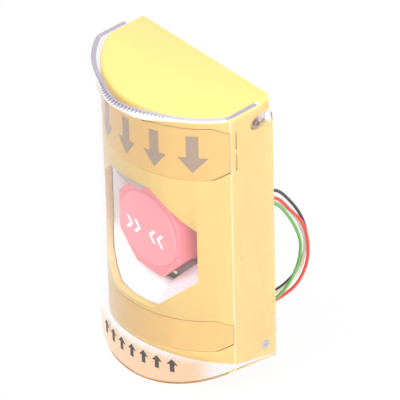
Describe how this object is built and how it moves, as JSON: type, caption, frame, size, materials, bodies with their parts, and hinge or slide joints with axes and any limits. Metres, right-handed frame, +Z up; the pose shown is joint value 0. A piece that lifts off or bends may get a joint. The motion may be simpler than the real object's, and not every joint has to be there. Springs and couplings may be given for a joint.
{
  "type": "emergency push button station",
  "caption": "Wall-mounted emergency push button station with a D-shaped housing, an octagonal button and a hinged clear lift cover.",
  "frame": {"origin": "middle of the back plate's rear face, on the wall plane", "axes": "+Z up along the wall, -Y straight out from the wall, +X to the right as one faces the button"},
  "size_m": [0.0758, 0.0797, 0.1289],
  "materials": {
    "yellow_housing": "smooth moulded yellow",
    "orange_plate": "smooth yellow-orange label plate",
    "clear_cover": "clear and polished",
    "white_plastic": "smooth white",
    "grey_plastic": "satin grey",
    "red_block": "smooth red",
    "red_disc": "smooth red",
    "brown_plastic": "satin brown",
    "black_plastic": "satin black",
    "steel": "plated steel",
    "brass": "plain brass",
    "tinned_copper": "tinned strand",
    "board_grey": "grey solder-masked board",
    "lamp_cream": "milky lamp",
    "insulation_black": "lead insulation",
    "insulation_white": "lead insulation",
    "insulation_red": "lead insulation",
    "insulation_green": "lead insulation"
  },
  "bodies": {
    "housing": {"housing_shell": "yellow_housing", "upper_label_plate": "orange_plate", "lower_label_plate": "orange_plate", "window_bezel": "white_plastic", "window_bar": "grey_plastic", "return_spring": "steel", "switch_base": "black_plastic", "back_plate": "steel", "lamp_board": "board_grey", "terminal_block": "grey_plastic", "switch_base_screw_lower": "steel", "switch_base_screw_upper": "steel", "hinge_pin_left": "brown_plastic", "hinge_block_left": "grey_plastic", "fixing_block_left": "grey_plastic", "housing_screw_left": "steel", "contact_block_left": "black_plastic", "lamp_left": "lamp_cream", "contact_blade_left_lower": "brass", "board_standoff_left_lower": "brass", "contact_blade_left_upper": "brass", "board_standoff_left_upper": "brass", "hinge_pin_right": "brown_plastic", "hinge_block_right": "grey_plastic", "fixing_block_right": "grey_plastic", "housing_screw_right": "steel", "contact_block_right": "black_plastic", "lamp_right": "lamp_cream", "contact_blade_right_lower": "brass", "board_standoff_right_lower": "brass", "contact_blade_right_upper": "brass", "board_standoff_right_upper": "brass", "lead_black": "insulation_black", "lead_end_black": "tinned_copper", "terminal_screw_black": "steel", "lead_white": "insulation_white", "lead_end_white": "tinned_copper", "terminal_screw_white": "steel", "lead_red": "insulation_red", "lead_end_red": "tinned_copper", "terminal_screw_red": "steel", "lead_green": "insulation_green", "lead_end_green": "tinned_copper", "terminal_screw_green": "steel"},
    "cover": {"clear_cover": "clear_cover"},
    "button": {"button_block": "red_block", "button_disc": "red_disc", "button_stem": "white_plastic", "stem_clip": "steel"},
    "plunger_left": {"contact_plunger_left": "white_plastic"},
    "plunger_right": {"contact_plunger_right": "white_plastic"}
  },
  "joints": [
    {"name": "cover_hinge", "type": "hinge", "parent": "housing", "child": "cover", "pos_m": [0, -0.0071, 0.0519], "axis": [-1, 0, 0], "range_deg": [0, 50]},
    {"name": "button_press", "type": "slide", "parent": "housing", "child": "button", "axis": [0, 1, 0], "range_m": [0, 0.004], "stiffness_N_per_m": 900, "springref_m": -0.002, "deforming": ["return_spring"]},
    {"name": "plunger_left_press", "type": "slide", "parent": "housing", "child": "plunger_left", "axis": [0, 1, 0], "range_m": [0, 0.004]},
    {"name": "plunger_right_press", "type": "slide", "parent": "housing", "child": "plunger_right", "axis": [0, 1, 0], "range_m": [0, 0.004]}
  ],
  "couplings": [
    {"joint": "plunger_left_press", "follows": "button_press", "ratio": 1},
    {"joint": "plunger_right_press", "follows": "button_press", "ratio": 1}
  ]
}
